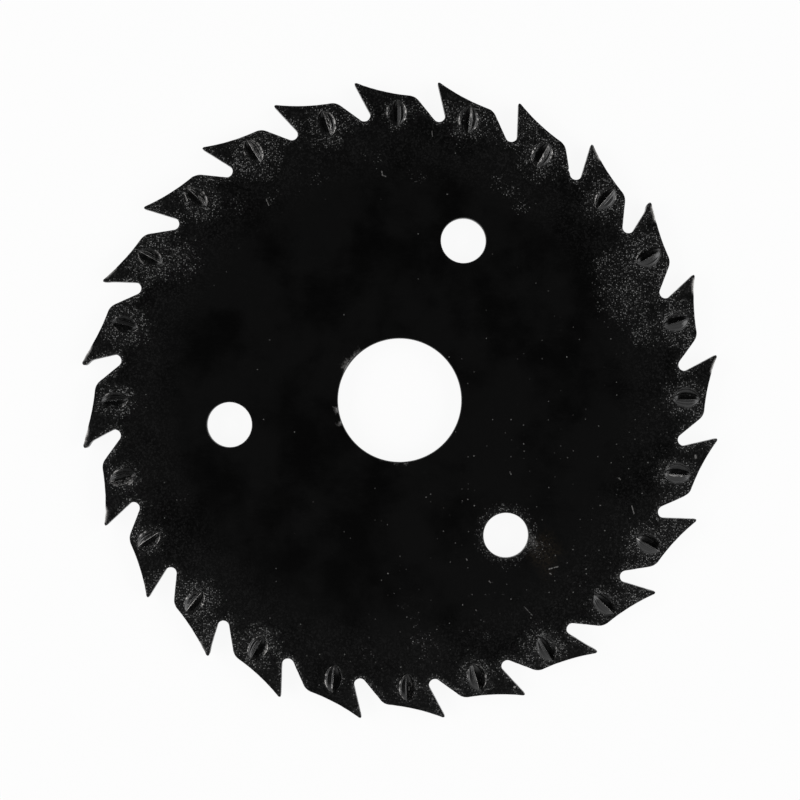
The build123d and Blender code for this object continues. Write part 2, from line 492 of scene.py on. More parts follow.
def arc(centre, start, end, step):
    """Evenly spaced points the short way round the centre, from start up to, but not at, end."""
    radius = np.hypot(*(start - centre))
    first = bearing(start - centre)
    sweep = (bearing(end - centre) - first + math.pi) % (2 * math.pi) - math.pi
    count = max(3, round(abs(sweep) * radius / step))
    return centre + polar(radius, first + np.linspace(0, sweep, count, endpoint=False))


def touching_point(centre, radius, outside, side):
    """Where the line from a point outside a circle touches it: side 1 is anticlockwise of the point, and
    side -1 is clockwise."""
    reach = outside - centre
    return centre + polar(radius, bearing(reach) + side * math.acos(radius / np.hypot(*reach)))


def rounded_corner(before, corner, after, radius, step):
    """The arc that rounds a corner between two straight sides, with both of its ends."""
    one = (before - corner) / np.hypot(*(before - corner))
    other = (after - corner) / np.hypot(*(after - corner))
    half_angle = math.acos(np.clip(one @ other, -1, 1)) / 2
    middle = (one + other) / np.hypot(*(one + other))
    centre = corner + middle * radius / math.sin(half_angle)
    start = corner + one * radius / math.tan(half_angle)
    end = corner + other * radius / math.tan(half_angle)
    return np.vstack([arc(centre, start, end, step), end])


def tooth_outline(sizes):
    """The rim from one tooth's leading corner, over its tip and back and through the gullet behind
    it, up to the next tooth. The tooth's land ends at angle 0."""
    rim = sizes.outside_radius
    step = sizes.outline_step
    fine = step / 5
    pitch = 2 * math.pi / sizes.tooth_count
    land = sizes.tip_land / rim
    lead, trail = polar(rim, land), polar(rim, 0.0)
    next_lead = polar(rim, land - pitch)
    shoulder = polar(rim - sizes.shoulder_drop, -sizes.shoulder_lag)

    # the hollow back's centre is outside the rim
    chord = shoulder - trail
    out = np.array([-chord[1], chord[0]]) / np.hypot(*chord)
    out *= math.copysign(1, out @ trail)
    half_chord = np.hypot(*chord) / 2
    back_centre = (trail + shoulder) / 2 + out * math.sqrt(sizes.back_radius**2 - half_chord**2)

    # the gullet's floor touches the next tooth's face
    floor_centre_radius = rim - sizes.gullet_depth + sizes.gullet_radius
    face_offset = rim * math.sin(sizes.rake_angle)
    floor_angle = (
        land - pitch - math.pi / 2 + sizes.rake_angle
        + math.acos((face_offset - sizes.gullet_radius) / floor_centre_radius)
    )
    floor_centre = polar(floor_centre_radius, floor_angle)
    heel = touching_point(floor_centre, sizes.gullet_radius, shoulder, 1)
    face = touching_point(floor_centre, sizes.gullet_radius, next_lead, -1)

    # the shoulder's rounding touches the back and the heel
    down = (heel - shoulder) / np.hypot(*(heel - shoulder))
    inward = np.array([down[1], -down[0]])
    inward *= math.copysign(1, inward @ -shoulder)
    from_back = shoulder + sizes.shoulder_round * inward - back_centre
    beside = from_back @ down
    reach = sizes.back_radius + sizes.shoulder_round
    along = -beside + math.sqrt(beside**2 - from_back @ from_back + reach**2)
    round_centre = back_centre + from_back + along * down
    round_start = back_centre + (round_centre - back_centre) * sizes.back_radius / reach
    round_end = shoulder + along * down

    leading = rounded_corner(turned(face, pitch), lead, trail, sizes.tip_round, fine)
    back_direction = np.array([back_centre[1] - trail[1], trail[0] - back_centre[0]])
    back_direction *= math.copysign(1, back_direction @ chord)
    trailing = rounded_corner(lead, trail, trail + back_direction, sizes.tip_round, fine)
    return np.vstack([
        leading[:-1],
        straight(leading[-1], trailing[0], fine),
        trailing[:-1],
        arc(back_centre, trailing[-1], round_start, step),
        arc(round_centre, round_start, round_end, step * 0.8),
        straight(round_end, heel, step),
        arc(floor_centre, heel, face, step * 0.7),
        straight(face, turned(leading[0], -pitch), step),
    ])


def outward_normals(outline):
    """Unit normals of a closed outline, away from its middle where it runs anticlockwise."""
    along = np.roll(outline, -1, axis=0) - np.roll(outline, 1, axis=0)
    return np.column_stack([along[:, 1], -along[:, 0]]) / np.hypot(*along.T)[:, None]


def rim_outline(sizes, rng):
    """The whole rim, anticlockwise, worn and knocked, and how rubbed each point is: worn, or a painted
    highlight.
    """
    pitch = 2 * math.pi / sizes.tooth_count
    one = tooth_outline(sizes)
    teeth = [turned(one, sizes.tip_angle - pitch * number) for number in range(sizes.tooth_count)]
    outline = np.vstack(teeth)[::-1]
    count = len(outline)
    radius = np.hypot(*outline.T)
    angle = np.arctan2(outline[:, 1], outline[:, 0])
    tooth = np.round((sizes.tip_angle - angle) / pitch).astype(int)
    behind = (sizes.tip_angle - pitch * tooth - angle) * radius
    tooth %= sizes.tooth_count
    depth = sizes.outside_radius - radius

    # the backs are rubbed behind their tips and painted bare as a highlight, and every edge is a little
    # ragged
    forward = np.column_stack([-np.sin(angle), np.cos(angle)])
    outward = np.column_stack([np.cos(angle), np.sin(angle)])
    normals = outward_normals(outline)
    on_back = smooth((normals * outward).sum(axis=1), 0.2, 0.6) * (depth < 3.5 * MM)
    rubbed = np.zeros(count)
    for number, amount in RUBBED_AND_HIGHLIT_BACKS.items():
        stretch = smooth(behind, -0.2 * MM, 0.6 * MM) * (1 - smooth(behind, 2.0 * MM, 3.6 * MM))
        rubbed += (tooth == number) * on_back * amount * stretch
    ragged = np.abs(rough(count, 1.0, rng, closed=True))
    ragged *= 1 - 0.7 * np.exp(-((depth / (0.5 * MM)) ** 2))
    outline = outline - normals * (ragged * (0.02 + 0.05 * rubbed) * MM)[:, None]

    # a knocked tip is driven in, and its metal spreads forward into a blunt head
    for number, (bent, driven) in KNOCKED_TIPS.items():
        head = (tooth == number) * np.exp(-(((depth - 0.6 * MM) / (0.8 * MM)) ** 2))
        lumps = 1 + rough(count, 0.3, rng, 8, closed=True)
        spread = head * (1 - 0.8 * smooth(behind, -0.3 * MM, 0.7 * MM)) * lumps
        sunk = head * np.exp(-((behind / (0.8 * MM)) ** 2))
        outline = outline + forward * (spread * bent * MM)[:, None]
        outline = outline - outward * (sunk * driven * MM)[:, None]
        rubbed += head * bent * 0.45

    for place_angle, place_radius, width, cut in RIM_NICKS:
        place = polar(place_radius * MM, math.radians(place_angle))
        near = np.exp(-((np.hypot(*(outline - place).T) / (width / 2 * MM)) ** 2))
        outline = outline - normals * (near * cut * MM)[:, None]
        rubbed += near * 0.5
    return outline, np.clip(rubbed, 0, 1)


def add_rim(metal, sizes, rng):
    """The rim's wall and its rounded edges. Returns the loops where it meets the front and the back, and
    the points on the front where its wear and painted highlight fade out."""
    outline, rubbed = rim_outline(sizes, rng)
    normals = outward_normals(outline)
    normals = normals + np.roll(normals, 1, axis=0) + np.roll(normals, -1, axis=0)
    normals /= np.hypot(*normals.T)[:, None]
    worn_in = np.abs(rough(len(outline), 1.0, rng, closed=True)).clip(0, 1)
    at_tip = np.exp(-(((sizes.outside_radius - np.hypot(*outline.T)) / (0.6 * MM)) ** 2))
    bevel = (sizes.rim_round + (0.1 + 0.12 * worn_in) * (1 - 0.65 * at_tip) * MM * rubbed)[:, None]
    # the rubbed value makes the edge bare: real wear, and on the backs a painted highlight
    front = metal.points(outline - normals * bevel, front_height, rubbed)
    shoulder = metal.points(outline - normals * bevel * 0.2, front_height - bevel[:, 0] * 0.5, rubbed)
    top = metal.points(outline, front_height - bevel[:, 0], rubbed * 0.9)
    bottom = metal.points(outline, back_height + sizes.rim_break)
    back = metal.points(outline - normals * sizes.rim_break, back_height)
    metal.strips([front, shoulder, top, bottom, back], closed=True)

    near = rubbed > 0.05
    inner = (outline - normals * (bevel + 0.32 * MM))[near][::2]
    clear = distances(inner, outline) > 0.3 * MM
    faded = metal.points(inner[clear], front_height, 0.25 * rubbed[near][::2][clear])
    return front, back, faded


def add_round_hole(metal, sizes, centre, radius, count, rng, chips=()):
    """A round hole's wall and broken edges. Returns its loops on the front and the back."""
    angle = np.linspace(0, 2 * math.pi, count, endpoint=False)
    bite = np.zeros(count)
    for place, width, depth in chips:
        off = (np.degrees(angle) - place + 180) % 360 - 180
        bite = np.maximum(bite, depth * MM * np.exp(-((off / (width / 2)) ** 4)))
    bite *= 0.75 + 0.25 * np.abs(rough(count, 1.5, rng, 1, closed=True)).clip(0, 1)
    wide = sizes.hole_break + bite + np.abs(rough(count, 0.012 * MM, rng, closed=True))
    patchy = (0.5 + np.abs(rough(count, 0.9, rng, 1, closed=True))).clip(0, 1)
    bare = np.clip(bite / (0.15 * MM), 0, 1) * patchy
    drop = 0.08 * MM + 0.12 * bite
    direction = polar(1.0, angle)

    def ring(beyond, height, bare=0.0):
        """A ring of points that far beyond the hole's radius."""
        return metal.points(centre + direction * (radius + beyond)[:, None], height, bare)

    front = ring(wide, front_height, bare * 0.45)
    middle = ring(wide * 0.7, front_height - drop * 0.7)
    top = ring(np.zeros(count), front_height - drop - 0.02 * MM, bare * 0.35)
    bottom = ring(np.zeros(count), back_height + sizes.hole_break)
    back = ring(np.full(count, sizes.hole_break), back_height)
    metal.strips([front, middle, top, bottom, back], closed=True)
    return front, back


class LancedTooth:
    """One lanced tooth: the lip raised behind its slit, the pocket sunk ahead of it, and both again on
    the back. Its rows of points run along the slit. A share t is 0 at the slit, and 1 at the lip's foot
    or the pocket's rim."""

    def __init__(self, metal, sizes, number, rng):
        self.metal = metal
        self.number = number
        self.rng = rng
        back_off, inward, lean, pocket_width, lip_width, _ = AS_PUNCHED[number % len(AS_PUNCHED)]
        pitch = 2 * math.pi / sizes.tooth_count
        place_angle = sizes.tip_angle - sizes.slit_lag - pitch * number
        self.out = polar(1.0, place_angle + math.radians(lean))
        self.ahead = np.array([-self.out[1], self.out[0]])
        place = polar(sizes.outside_radius - sizes.slit_setback - inward * MM, place_angle)
        self.centre = place - self.ahead * back_off * MM

        full = number % FULL_DEPTH_EVERY == 0
        half = sizes.slit_length / 2 * rng.uniform(1.0, 1.04)
        self.lip_height = sizes.lip_height * (1.0 if full else rng.uniform(0.9, 1.0))
        self.pocket_depth = sizes.pocket_depth * (0.985 if full else rng.uniform(0.9, 0.98))

        # stations along the slit, two of them where it breaks open
        thickness = front_height - back_height
        open_half = half * (1 - thickness / (self.lip_height + self.pocket_depth)) ** (1 / CROWN_POWER)
        tail = np.linspace(open_half, half, 10)
        along = np.concatenate([-tail[::-1], np.linspace(-open_half, open_half, 17)[1:-1], tail])
        self.half = half
        self.along = along
        self.count = len(along)
        self.is_open = np.abs(along) <= open_half + 1e-9
        self.crown = 1 - np.abs(along / half) ** CROWN_POWER
        self.swept = SWEPT_EDGES.get(number, 0.0) * MM * self.crown
        self.lip_reach = self.bow(lip_width * MM) * (1 + self.uneven(0.04, 6))
        self.pocket_reach = self.bow(pocket_width * MM) * (1 + self.uneven(0.04, 6))
        ends = self.centre + np.array([-half, half])[:, None] * self.out
        self.front_ends = metal.points(ends, front_height)
        self.back_ends = metal.points(ends, back_height)

        self.crease_depths = rng.uniform(0.3, 1.0, 3) * CREASES.get(number, 0.08) * MM
        self.crease_places = np.array([0.22, 0.36, 0.52]) + rng.uniform(-0.05, 0.05, 3)
        self.step_place = WIDE_POCKETS.get(number, rng.uniform(0.44, 0.58))

        # its wear: a bare, torn and rounded cutting edge and stretches worn bare, and bare steel on the rims
        # as painted highlights
        bare = BARE_EDGES.get(number, 0.2) * smooth(self.crown, 0.1, 0.5)
        bare = (bare * (0.6 + np.abs(self.uneven(1.0))).clip(0, 1.3)).clip(0, 1)
        self.tear = np.abs(self.uneven(0.06 * MM)) * smooth(self.crown, 0.1, 0.6)
        steepest = np.minimum(0.35 * (self.lip(0.0) + self.pocket(0.0)), 0.5 * self.lip_reach)
        self.edge = np.minimum(sizes.cutting_edge_round, steepest)
        self.foot_rise = 0.03 * MM * smooth(self.crown, 0.0, 0.3)
        self.pocket_painted_highlight = self.shine(POCKET_PAINTED_HIGHLIGHTS.get(number, ()))
        self.lip_painted_highlight = self.shine(LIP_PAINTED_HIGHLIGHTS.get(number, ()))
        self.edge_shine = self.shine(WORN_EDGES.get(number, ()))
        self.bare = np.maximum(bare, self.edge_shine)

    def uneven(self, amount, spread=1):
        """A rough value for each station."""
        return rough(self.count, amount, self.rng, spread)

    def bow(self, width):
        """How far a foot that is an arc through the slit's ends stands off the slit."""
        sink = (self.half**2 - width**2) / (2 * width)
        return np.sqrt(self.half**2 + sink**2 - self.along**2) - sink

    def lip(self, t, creased=True):
        """Height of the lip at a share t: a burr along the cutting edge, a gentle slope and a steep foot."""
        slope = 0.24 if self.number in FLAT_LIPS else 0.42
        form = 1 - 0.26 * smooth(t, 0.0, 0.2) - slope * np.clip((t - 0.08) / 0.72, 0, 1)
        form = form - (0.74 - slope) * smooth(t, 0.74, 1.0)
        pressed = zip(self.crease_depths, self.crease_places)
        crease = sum(depth * np.exp(-(((t - place) / 0.05) ** 2)) for depth, place in pressed)
        return self.lip_height * self.crown * form - crease * creased * smooth(self.crown, 0.3, 0.7)

    def pocket(self, t):
        """Depth of the pocket at a share t, with a step part way."""
        step = self.step_place
        floor = 0.12 * np.clip(t / step, 0, 1) + 0.34 * smooth(t, step - 0.14, step)
        rise = 0.24 * np.clip((t - step) / (0.9 - step), 0, 1) + 0.3 * smooth(t, 0.76, 1.0)
        return self.pocket_depth * self.crown * (1 - floor - rise)

    def shine(self, stretches):
        """How bare a rim is along the given stretches: painted highlights, or coat worn off the cutting edge.
        """
        share = self.along / self.half
        bare = np.zeros(self.count)
        for start, end, amount in stretches:
            rising = amount * smooth(share, start - 0.15, start + 0.1)
            bare += rising * (1 - smooth(share, end - 0.1, end + 0.15))
        return np.clip(bare * (0.65 + self.uneven(0.8)), 0, 1)

    def streak(self, t):
        """Painted highlight streaks, bare steel, that run along a lip that isn't smooth."""
        if self.number in SMOOTH_LIPS_AND_PAINTED_LIGHT or t not in HIGHLIGHT_STREAK_ROWS:
            return 0.0
        strength = STREAK_HIGHLIGHTS.get(self.number, 0.45) * self.rng.uniform(0.4, 1.0)
        return strength * smooth(self.crown, 0.1, 0.6) * np.clip(0.5 + self.uneven(1.0), 0, 1.2)

    def row(self, off, height, ends, bare=0.0, grain=np.nan):
        """A row of points along the slit that meets the slit's ends."""
        flat = self.centre + self.along[:, None] * self.out + (off - self.swept)[:, None] * self.ahead
        bare = np.broadcast_to(bare, self.count)
        height = np.broadcast_to(height, self.count)
        inner = self.metal.points(flat[1:-1], height[1:-1], bare[1:-1], grain)
        return np.concatenate([[ends[0]], inner, [ends[1]]])

    def pocket_rows(self):
        """The pocket, from its torn edge out to its rim."""
        chips = CHIPPED_POCKETS.get(self.number, 0.0)
        highlight_start = 0.55 if self.number in WIDE_PAINTED_HIGHLIGHTS else 0.78
        # a smooth pocket slope gets the rubbed grey, painted light for its slope; others are grainy
        coat = -0.6 if self.number in SMOOTH_POCKETS_AND_PAINTED_LIGHT else 0.65
        rows = []
        for t in POCKET_ROWS:
            height = front_height - self.pocket(t) - self.foot_rise * smooth(t, 0.7, 1.0)
            chipped = chips * np.clip(self.uneven(1.2), 0, 1) * (0.2 < t < 0.9)
            # bare steel at the pocket's rim is a painted highlight; the chips are real
            bare = self.pocket_painted_highlight * smooth(t, highlight_start, 0.93) + chipped
            grain = coat * smooth(t, self.step_place - 0.08, self.step_place + 0.04)
            rows.append(self.row(self.pocket_reach * t, height, self.front_ends, bare, grain))
        return rows

    def lip_rows(self):
        """The rounded cutting edge, and the lip from there back to its foot."""
        # a smooth lip gets the rubbed grey, painted light for its slope; others are grainy
        coat = -SMOOTH_LIPS_AND_PAINTED_LIGHT[self.number] if self.number in SMOOTH_LIPS_AND_PAINTED_LIGHT else 0.42
        edge, tear, bare, ends = self.edge, self.tear, self.bare, self.front_ends
        top = front_height + self.lip(0.0)
        rounded = edge / np.maximum(self.lip_reach, 1e-9)
        rows = [
            self.row(-tear * 0.5, top - edge - tear, ends, bare, 0.0),
            self.row(-edge * 0.3 - tear * 0.5, top - edge * 0.3 - tear * 0.4, ends, bare, coat),
            self.row(-edge, front_height + self.lip(rounded), ends, bare * 0.7, coat),
        ]
        for t in LIP_ROWS:
            height = front_height + self.lip(np.minimum(rounded + (1 - rounded) * t, 1.0))
            height = height + self.foot_rise * smooth(t, 0.9, 1.0)
            # bare steel: coat worn off behind the cutting edge, and painted highlights at the lip's foot and
            # in streaks
            shine = self.edge_shine * (t < 0.15) + self.lip_painted_highlight * smooth(t, 0.74, 0.9) + self.streak(t)
            off = -(edge + (self.lip_reach - edge) * t)
            rows.append(self.row(off, height, ends, shine, coat if t < 0.9 else np.nan))
        return rows

    def hollow_rows(self):
        """The lip's hollow in the back, a thickness below the lip."""
        heights = [back_height + self.lip(t, creased=False) for t in HOLLOW_ROWS]
        return [self.row(-self.lip_reach * t, z, self.back_ends) for t, z in zip(HOLLOW_ROWS, heights)]

    def bulge_rows(self):
        """The pocket's bulge out of the back, a thickness below the pocket."""
        heights = [back_height - self.pocket(t) for t in BULGE_ROWS]
        return [self.row(self.pocket_reach * t, z, self.back_ends) for t, z in zip(BULGE_ROWS, heights)]

    def skirt(self, foot, rim, height, rise):
        """The sheet drawn down round the tooth: two rings that ease it into the flat."""
        loop = np.concatenate([foot, rim[-2:0:-1]])
        places = np.vstack(self.metal.places)[loop, :2]
        spread = outward_normals(places)
        spread *= np.sign(((places - self.centre) * spread).sum(axis=1)).mean()
        side = np.concatenate([np.ones(self.count), -np.ones(self.count - 2)])
        lift = rise * side * np.concatenate([self.crown, self.crown[-2:0:-1]])
        inner = self.metal.points(places + spread * 0.1 * MM, height + lift * 0.3)
        outer = self.metal.points(places + spread * 0.26 * MM, height)
        self.metal.strips([loop, inner, outer], closed=True)
        return outer

    def build(self):
        """Adds the tooth to the skin. Returns the loops where it meets the front and the back."""
        pocket_rows, lip_rows = self.pocket_rows(), self.lip_rows()
        hollow_rows, bulge_rows = self.hollow_rows(), self.bulge_rows()
        pocket_edge, hollow_edge, bulge_edge = pocket_rows[0], hollow_rows[0], bulge_rows[0]

        # where the slit breaks open, the pocket's and the hollow's edges cross at one point
        for station in np.flatnonzero(self.is_open)[[0, -1]]:
            hollow_edge[station] = pocket_edge[station]
        wall_foot = np.where(self.is_open, hollow_edge, pocket_edge)
        bulge_top = np.where(self.is_open, pocket_edge, hollow_edge)
        hollow_top = back_height + self.lip(0.0, creased=False)
        foot_height = np.where(self.is_open, hollow_top, front_height - self.pocket(0.0))
        wall_top = front_height + self.lip(0.0) - self.edge
        jog = self.uneven(0.04 * MM) * smooth(self.crown, 0.2, 0.6)
        height = wall_top * 0.5 + foot_height * 0.5
        wall_middle = self.row(-np.abs(jog), height, self.front_ends, self.bare * 0.3, 0.0)

        self.metal.strips([*lip_rows[::-1], wall_middle, wall_foot])
        self.metal.strips(pocket_rows)
        self.metal.strips(hollow_rows)
        self.metal.strips([*bulge_rows[::-1], bulge_top])
        for crisp in (pocket_edge, hollow_edge, bulge_edge):
            self.metal.harden(crisp)
        front = self.skirt(lip_rows[-1], pocket_rows[-1], front_height, 0.03 * MM)
        back = self.skirt(hollow_rows[-1], bulge_rows[-1], back_height, 0.0)
        return front, back


def graininess(places, sizes, rim):
    """How grainy the coat is at each place: round the lanced teeth, along the gullets and in patches.
    It is 1 in the middle of such a place and 0.5 at its border. A lip that is rubbed smooth has less
    than 0, and is painted grey as the light on its slope."""
    pitch = 2 * math.pi / sizes.tooth_count
    radius = np.hypot(*places.T)
    angle = np.arctan2(places[:, 1], places[:, 0])
    grain = np.zeros(len(places))
    for x, y, reach, amount in GRAIN_PATCHES:
        far = np.hypot(*(places - np.array([x, y]) * MM).T)
        grain = np.maximum(grain, amount - 0.35 * (far / (reach * MM)) ** 2)
    for number in range(sizes.tooth_count):
        back_off, inward, _, _, _, reach = AS_PUNCHED[number % len(AS_PUNCHED)]
        slit_angle = sizes.tip_angle - sizes.slit_lag - pitch * number
        ahead = ((angle - slit_angle + math.pi) % (2 * math.pi) - math.pi) * radius + back_off * MM
        outward = radius - (sizes.outside_radius - sizes.slit_setback - inward * MM)
        far = np.hypot(ahead, outward * 0.85)
        grain = np.maximum(grain, 0.78 - 0.3 * (far / (reach * MM)) ** 2)
        tip = polar(sizes.outside_radius, sizes.tip_angle - pitch * number)
        far = np.hypot(*(places - tip).T)
        grain = np.maximum(grain, 0.74 - 0.32 * (far / (GRAINY_TIPS[number % len(GRAINY_TIPS)] * MM)) ** 2)
    rim_radius = np.hypot(*rim.T)
    in_gullet = rim_radius < sizes.outside_radius - 3.4 * MM
    on_face = (outward_normals(rim) * rim).sum(axis=1) < 0.2 * rim_radius
    for edge, amount in ((rim[in_gullet], 0.82), (rim[on_face], 0.68)):
        grain = np.maximum(grain, amount - 0.3 * distances(places, edge) / (0.8 * MM))
    return grain


def build_disc(sizes):
    """The whole disc as one closed skin."""
    rng = np.random.default_rng(sizes.random_seed)
    metal = Metal()
    front_rim, back_rim, faded = add_rim(metal, sizes, rng)
    loops = [(front_rim, back_rim)]
    loops.append(add_round_hole(metal, sizes, np.zeros(2), sizes.bore_radius, BORE_POINTS, rng, BORE_CHIPS))
    for number in range(sizes.hole_count):
        angle = sizes.hole_angle + 2 * math.pi * number / sizes.hole_count
        centre = polar(sizes.hole_circle_radius, angle)
        loops.append(add_round_hole(metal, sizes, centre, sizes.hole_radius, HOLE_POINTS, rng))
    for number in range(sizes.tooth_count):
        loops.append(LancedTooth(metal, sizes, number, rng).build())
    fronts, backs = zip(*loops)
    metal.flat_face(fronts, front_height, FRONT_SPACING, faded)
    metal.flat_face(backs, back_height, BACK_SPACING)
    rim = np.vstack(metal.places)[front_rim, :2]
    return metal.to_object("stamped_disc", lambda places: graininess(places, sizes, rim))


class Number:
    """A number from a node. Arithmetic on it adds Math nodes to the same tree."""

    def __init__(self, bench, socket):
        self.bench = bench
        self.socket = socket

    def __add__(self, other):
        return self.bench.maths("ADD", self, other)

    def __sub__(self, other):
        return self.bench.maths("SUBTRACT", self, other)

    def __rsub__(self, other):
        return self.bench.maths("SUBTRACT", other, self)

    def __mul__(self, other):
        return self.bench.maths("MULTIPLY", self, other)

    def __truediv__(self, other):
        return self.bench.maths("DIVIDE", self, other)

    def __pow__(self, other):
        return self.bench.maths("POWER", self, other)

    __radd__ = __add__
    __rmul__ = __mul__


class Bench:
    """Lays out the nodes of one material, or of the world."""

    def __init__(self, owner):
        owner.use_nodes = True
        self.tree = owner.node_tree
        self.tree.nodes.clear()

    def add(self, kind, settings=None, inputs=None):
        """A node of that kind: its settings first, then the values or links of its sockets."""
        node = self.tree.nodes.new(kind)
        for name, setting in (settings or {}).items():
            setattr(node, name, setting)
        for name, given in (inputs or {}).items():
            source = getattr(given, "socket", given)
            if isinstance(source, bpy.types.NodeSocket):
                self.tree.links.new(source, node.inputs[name])
            else:
                node.inputs[name].default_value = source
        return node

    def number(self, node, output):
        """A node's output, as a number."""
        return Number(self, node.outputs[output])

    def attribute(self, name):
        """A value that the mesh's points carry."""
        return self.number(self.add("ShaderNodeAttribute", {"attribute_name": name}), "Fac")

    def maths(self, operation, *terms):
        return self.number(self.add("ShaderNodeMath", {"operation": operation}, dict(enumerate(terms))), 0)

    def greatest(self, *numbers):
        largest = numbers[0]
        for number in numbers[1:]:
            largest = self.maths("MAXIMUM", largest, number)
        return largest

    def ramp(self, number, low, high, start=0.0, end=1.0):
        """Goes softly from start to end while the number goes from low to high."""
        inputs = {"Value": number, "From Min": low, "From Max": high, "To Min": start, "To Max": end}
        return self.number(self.add("ShaderNodeMapRange", {"interpolation_type": "SMOOTHSTEP"}, inputs), 0)

    def vector_maths(self, operation, *terms, **named):
        inputs = {**dict(enumerate(terms)), **named}
        return self.add("ShaderNodeVectorMath", {"operation": operation}, inputs).outputs[0]

    def noise(self, place, scale, detail=2.0, roughness=0.5):
        inputs = {"Vector": place, "Scale": scale, "Detail": detail, "Roughness": roughness}
        return self.number(self.add("ShaderNodeTexNoise", {}, inputs), 0)

    def blend(self, amount, one, other):
        """A colour that goes from one to the other as the amount goes from 0 to 1."""
        inputs = {0: amount, 6: colour_of(one), 7: colour_of(other)}
        return self.add("ShaderNodeMix", {"data_type": "RGBA"}, inputs).outputs[2]


def colour_of(given):
    """A link as it is, or a colour property with its alpha added."""
    return given if isinstance(given, bpy.types.NodeSocket) else (*given, 1.0)


def scratch(bench, x, y, grain, x0, y0, x1, y1, width, strength):
    """A thin scratch between two places, broken up by the grain."""
    run = math.hypot(x1 - x0, y1 - y0)
    across_x, across_y = (x1 - x0) / run, (y1 - y0) / run
    along = (x - x0) * across_x + (y - y0) * across_y
    beyond = bench.maths("ABSOLUTE", along - run / 2) - run / 2
    off = bench.maths("ABSOLUTE", (x - x0) * across_y - (y - y0) * across_x)
    near = bench.ramp(bench.greatest(off, beyond), width * 0.3, width + 0.05, 1.0, 0.0)
    return near * bench.ramp(grain, 0.35, 0.55) * strength


def blackened_steel(finish):
    """Black coat on steel: smooth in the middle, grainy round the punched places, worn at its edges."""
    material = bpy.data.materials.new(SLOT)
    bench = Bench(material)
    place = bench.vector_maths("SCALE", bench.add("ShaderNodeTexCoord").outputs["Object"], Scale=1 / MM)
    split = bench.add("ShaderNodeSeparateXYZ", {}, {"Vector": place})
    x, y = bench.number(split, "X"), bench.number(split, "Y")

    cloud = bench.noise(place, 0.7, 3.0)
    drift = bench.noise(place, 0.08, 5.0, 0.6)
    fine = bench.noise(place, 3.0, 1.0)
    coarse = bench.noise(place, 1.6, 0.0)

    # grains are pale points of every brightness, fewer toward the border of each grainy place
    grain = bench.attribute("grain")
    grainy = bench.ramp(grain + (cloud - 0.5) * 0.5, 0.35, 0.75)
    grit = bench.add("ShaderNodeTexVoronoi", {"voronoi_dimensions": "2D"}, {"Vector": place, "Scale": 3.9})
    kind = bench.add("ShaderNodeSeparateColor", {}, {"Color": grit.outputs["Color"]})
    present = bench.ramp(grainy - bench.number(kind, "Green") * 0.9, 0.0, 0.1)
    paleness = (bench.number(kind, "Red") ** 4.5 * 0.97 + 0.03) * (0.15 + grainy * 0.85)
    grains = bench.ramp(bench.number(grit, "Distance"), 0.5, 0.15) * paleness * present

    # below 0 the coat is smooth and painted grey, standing in for the light on the lips' slopes
    rubbed = bench.ramp(grain, 0.0, -1.0)
    stain = bench.maths("ABSOLUTE", x - STAIN[0]) + bench.maths("ABSOLUTE", y - STAIN[1]) * 0.7
    brown = bench.ramp(stain + (cloud - 0.5) * 4, 1.5, 4.5, 1.0, 0.0)
    brushed = bench.noise(bench.vector_maths("MULTIPLY", place, (0.5, 5.0, 1.0)), 1.0, 2.0)
    out = (x**2.0 + y**2.0) ** 0.5
    worn = bench.ramp(drift, 0.34, 0.6) * 0.85 + bench.ramp(brushed, 0.55, 0.75) * 0.3
    black = bench.blend(worn + bench.ramp(out, 50.0, 56.0) * 0.4, finish.black, finish.worn_black)
    dusty = bench.ramp(out, 37.0, 48.0) * 0.45 + bench.ramp(out, 50.0, 56.0) * 0.25
    black = bench.blend(dusty * bench.number(kind, "Blue") ** 3.0, black, finish.haze)
    black = bench.blend(grainy, black, finish.grainy_black)
    black = bench.blend(rubbed, black, finish.rubbed)
    black = bench.blend(brown * bench.ramp(fine, 0.35, 0.65) * 0.75, black, finish.brown)
    black = bench.blend(grains, black, finish.grain_colour)

    # pinpoint specks lie mostly toward the lower right, and most are faint
    cells = bench.add("ShaderNodeTexVoronoi", {"voronoi_dimensions": "2D"}, {"Vector": place, "Scale": 0.9})
    chance = bench.add("ShaderNodeSeparateColor", {}, {"Color": cells.outputs["Color"]})
    odds = bench.ramp(x - y, -10, 60, 0.015, 0.22)
    held = bench.maths("LESS_THAN", bench.number(chance, "Red"), odds)
    bright = bench.number(chance, "Green") ** 3.0
    size = 0.03 + bench.number(chance, "Blue") * 0.05
    beyond = bench.number(cells, "Distance") / 0.9 - size
    specks = bench.ramp(beyond, 0.0, 0.08, 1.0, 0.0) * held * bright
    black = bench.blend(specks, black, finish.dust)

    # bare metal where the coat has broken, and bare steel painted on as highlights at rims and tooth backs
    bare = bench.attribute("bare")
    bare = bench.ramp(bare + (fine - 0.5) * 0.5, 0.15, 0.95)
    scratched = bench.greatest(*[scratch(bench, x, y, fine, *mark) for mark in SCRATCHES])
    metal = bench.greatest(bare, scratched)
    surface = bench.blend(metal, black, finish.steel)

    relief = ((fine - 0.5) + (coarse - 0.5)) * grainy * finish.grain + grains * 0.25 * finish.grain
    bump = bench.add("ShaderNodeBump", {}, {"Strength": 1.0, "Distance": 1.0, "Height": relief})
    shader = bench.add("ShaderNodeBsdfPrincipled", {}, {
        "Base Color": surface,
        "Roughness": finish.roughness + grainy * 0.08 + metal * 0.2,
        "Metallic": metal,
        "Normal": bump.outputs["Normal"],
    })
    bench.add("ShaderNodeOutputMaterial", {}, {"Surface": shader.outputs["BSDF"]})
    return material


